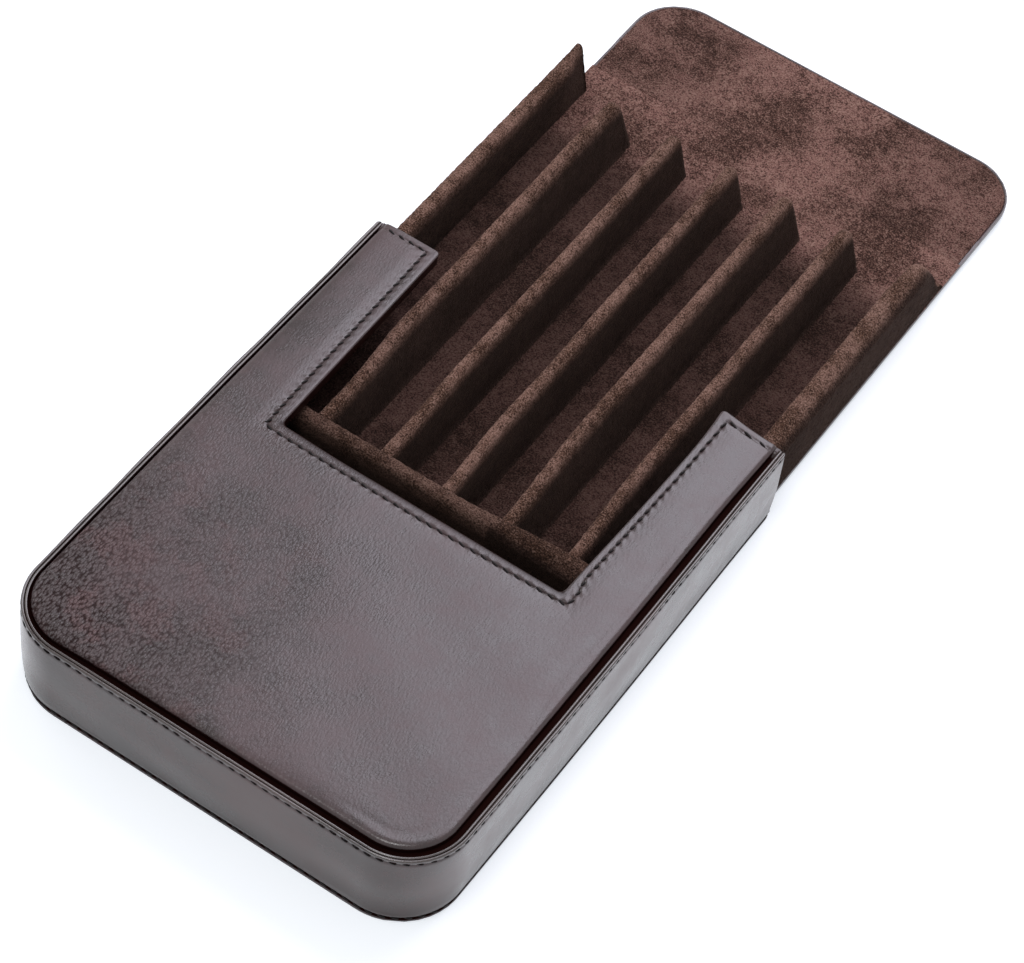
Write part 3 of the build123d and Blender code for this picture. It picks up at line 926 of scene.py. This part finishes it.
# The dividers
# Five thin boards, each wrapped over its top in suede, with their far ends cut at a slant. The
# boards are only glued at their foot, so each leans a little to the left by its own amount.
divider_thick = 3.4
divider_start_y = tray_low_y + wall_thick - 0.4
divider_leans = (3.0, 1.3, 1.5, 2.8, 2.2)
near_lean = 0.4
lean_curve = 1.3
divider_slant = 5.5
end_round = 1.6
end_narrowing = 1.6
top_round = 2.6
sway = 0.25


def divider_section():
    """A divider's section across and up, with a half round top and a spread foot."""
    half, skipped = divider_thick / 2, 0.25
    up = np.concatenate([[wall_foot, sheet_top + 0.3], spread(sheet_top + 0.9, wall_z - half, 0.8)])
    foot = 0.5 * np.exp(-(up - sheet_top) / 0.5)
    left = [(-half - flare, z) for flare, z in zip(foot, up)]
    top = [(-half * math.cos(a), wall_z - half + half * math.sin(a))
           for a in spread(skipped, np.pi - skipped, arc_step)]
    right = [(half + flare, z) for flare, z in zip(foot[::-1], up[::-1])]
    return np.array(left + top + right)


section = divider_section()
section_x, section_z = section.T
up_share = (section_z - sheet_top) / (wall_z - sheet_top)
leaning = np.clip(up_share, 0, 1) ** lean_curve
# Painted shade down the dividers' sides, below their tops.
divider_side_shade = 0.88 * (1 - rising(section_z, start=wall_z - 5, over=3.6))
for number, lean in enumerate(divider_leans, 1):
    box_low, box_high = (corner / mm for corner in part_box(f"divider_{number}_cover"))
    rows_y = both_ways(plate_near, divider_start_y, box_high.y, spacing=0.8)
    to_end = (box_high.y - rows_y)[:, None]
    narrow = 1 - end_narrowing * drop(to_end, end_round) / divider_thick
    near_end = 1 - rising(to_end, start=0, over=26)
    settling = rising(rows_y, start=divider_start_y, over=40)[:, None]
    lean_here = lean * (near_lean + (1 - near_lean) * settling)
    sway_here = sway * ripple(rows_y, rows_y * 0, length=45, seed=50 + number)[:, None]
    points = np.empty((len(rows_y), len(section), 3))
    points[..., 0] = (box_low.x + box_high.x) / 2 + section_x * narrow + (sway_here - lean_here) * leaning
    points[..., 1] = rows_y[:, None] - near_end * (divider_slant * up_share
                                                   + drop(wall_z - section_z, top_round))
    points[..., 2] = section_z
    piece = made(f"divider_{number}_suede", *loft(napped(points, wrap_nap, seed=60 + number)), wall_suede,
                 sharp=70, painted_shade=np.tile(divider_side_shade, (len(rows_y), 1)))
    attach(piece, "tray")
    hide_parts(f"divider_{number}_cover", f"divider_{number}_board")


# Linings, boards and foam that stay inside
# Suede glued inside the sleeve, grey millboard that stiffens each panel, and thin foam. They are
# the solids themselves, which only get their materials here.


def plain_stock(name, deep, pale, grain, depth):
    """Board or foam: a flat tint, mottled by its fibres or cells."""
    material, tree, place = new_material(name)
    fleck = add(tree, "TexNoise", {"Vector": place, "Scale": 1 / (grain * mm), "Detail": 4.0})
    tint = add(tree, "Mix", {"Factor": fleck, 6: colour(deep), 7: colour(pale)}, data_type="RGBA")
    rough = add(tree, "Bump", {"Height": fleck, "Distance": depth * mm})
    body = add(tree, "BsdfPrincipled", {"Base Color": tint.outputs[2], "Roughness": 0.9, "Normal": rough})
    add(tree, "OutputMaterial", {"Surface": body})
    return material


stocks = {
    "_board": plain_stock("grey_millboard", "#6f6a62", "#8f8a80", grain=1.2, depth=0.1),
    "_padding": plain_stock("polyether_foam", "#3a3836", "#54514d", grain=0.8, depth=0.2),
    "_lining": suede("pigskin_suede_lining", "#3f2b25", "#5a433a", patch=20)}
for node_name, node in frame["nodes"].items():
    for ending, stock in stocks.items():
        if node_name.endswith(ending):
            node.data.materials.clear()
            node.data.materials.append(stock)


# Table, light and camera
# White paper under a large soft light from behind and above, with weaker ones above and at the left.
# The paper and the sky are brighter to the camera and in reflections than as light on the case.


def seen_directly(tree):
    """1 for what the camera sees, straight or in a reflection, and 0 for what only gives light."""
    path = add(tree, "LightPath")
    return add(tree, "Math", {
        0: path.outputs["Is Camera Ray"], 1: path.outputs["Is Glossy Ray"]}, operation="MAXIMUM")


floor_mesh = bpy.data.meshes.new("paper_floor")
reach = 4.0
floor_mesh.from_pydata([(-reach, -reach, 0), (reach, -reach, 0), (reach, reach, 0), (-reach, reach, 0)],
                       [], [(0, 1, 2, 3)])
paper = bpy.data.materials.new("white_paper")
paper.use_nodes = True
tree = paper.node_tree
tree.nodes.clear()
direct = seen_directly(tree)
matte = add(tree, "BsdfDiffuse", {"Color": colour("#e6e6e6")})
bright = add(tree, "Emission", {"Color": colour("#f1f8ff"), "Strength": 0.6})
lifted = add(tree, "AddShader", {0: matte, 1: bright})
shown = add(tree, "MixShader", {0: direct, 1: matte, 2: lifted})
add(tree, "OutputMaterial", {"Surface": shown})
floor_mesh.materials.append(paper)
floor = bpy.data.objects.new("paper_floor", floor_mesh)
bpy.context.scene.collection.objects.link(floor)

world = bpy.data.worlds.new("studio")
bpy.context.scene.world = world
world.use_nodes = True
tree = world.node_tree
tree.nodes.clear()
direct = seen_directly(tree)
soft = add(tree, "Background", {"Color": colour("#f6f6fa"), "Strength": 0.4})
white = add(tree, "Background", {"Color": colour("#ffffff"), "Strength": 1.0})
sky = add(tree, "MixShader", {0: direct, 1: soft, 2: white})
add(tree, "OutputWorld", {"Surface": sky})


def softbox(name, place, aim, size, power, tint):
    """A rectangular soft light that looks at a point, in metres and watts."""
    light = bpy.data.lights.new(name, "AREA")
    light.shape = "RECTANGLE"
    light.size, light.size_y = size
    light.energy = power
    light.color = colour(tint)[:3]
    lamp = bpy.data.objects.new(name, light)
    lamp.location = place
    lamp.rotation_mode = "QUATERNION"
    lamp.rotation_quaternion = (Vector(aim) - lamp.location).to_track_quat("-Z", "Y")
    bpy.context.scene.collection.objects.link(lamp)


softbox("key_softbox", place=(-0.05, 0.94, 1.15), aim=(0, 0.03, 0), size=(0.94, 0.9), power=11,
        tint="#f6f2ff")
softbox("top_softbox", place=(0.0, -0.35, 1.25), aim=(0, 0, 0.01), size=(0.4, 0.4), power=3.5,
        tint="#ffffff")
softbox("side_softbox", place=(-1.2, 0.4, 0.9), aim=(0, 0, 0.01), size=(0.7, 0.7), power=2.5,
        tint="#ffffff")

# The view: 27 degrees round from the closed end and 52 degrees above the table, a little tilted.
azimuth, elevation, roll = math.radians(26.79), math.radians(51.77), math.radians(8.89)
camera_place = (268.43 * mm, -474.28 * mm, 746.44 * mm)
camera_data = bpy.data.cameras.new("camera")
camera_data.sensor_width = 36
camera_data.lens = 125.92
camera = bpy.data.objects.new("camera", camera_data)
turned = (Matrix.Rotation(azimuth, 4, "Z") @ Matrix.Rotation(math.pi / 2 - elevation, 4, "X")
          @ Matrix.Rotation(roll, 4, "Z"))
camera.matrix_world = Matrix.Translation(camera_place) @ turned
bpy.context.scene.collection.objects.link(camera)
bpy.context.scene.camera = camera
bpy.context.scene.view_settings.view_transform = "Standard"
